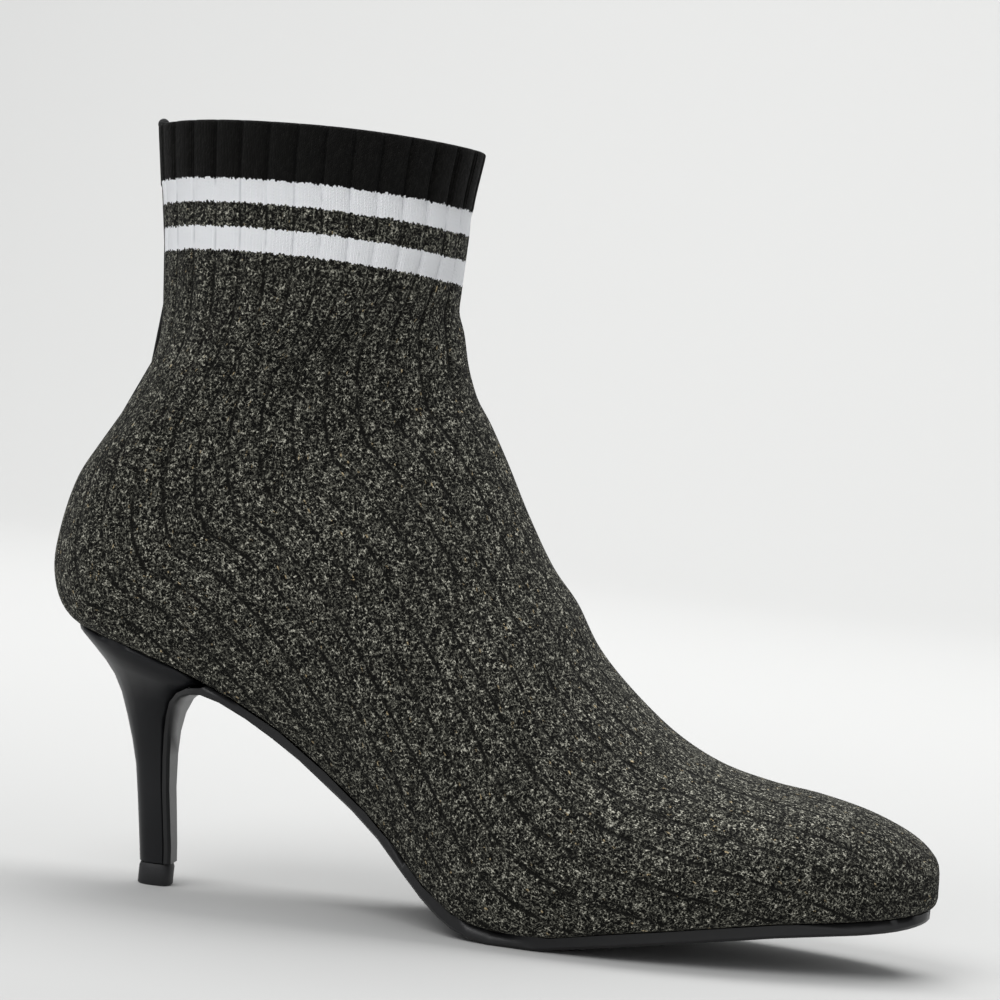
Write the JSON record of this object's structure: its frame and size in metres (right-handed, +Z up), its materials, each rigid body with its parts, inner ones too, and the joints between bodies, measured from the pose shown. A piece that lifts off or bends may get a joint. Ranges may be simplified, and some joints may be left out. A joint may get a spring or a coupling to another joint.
{
  "type": "sweater boot",
  "caption": "Knitted sweater ankle boot for the right foot, with a ribbed collar in black with white bands, a pointed toe, a thin sole and a slim high heel.",
  "frame": {"origin": "on the floor, under the middle of the boot's bounding box", "axes": "+X towards the toe, +Z up, -Y towards the outer side of this right boot"},
  "size_m": [0.2402, 0.0787, 0.2018],
  "materials": {
    "upper": "knitted melange, black and grey, with a ribbed collar and white bands",
    "insole": "matte lining",
    "outsole": "satin black",
    "heel": "satin to gloss black cover",
    "top_piece": "matte black",
    "back_tape": "matte black woven tape"
  },
  "bodies": {
    "root": {"upper": "upper", "insole": "insole", "outsole": "outsole", "heel": "heel", "top_piece": "top_piece", "back_tape": "back_tape"}
  },
  "joints": []
}
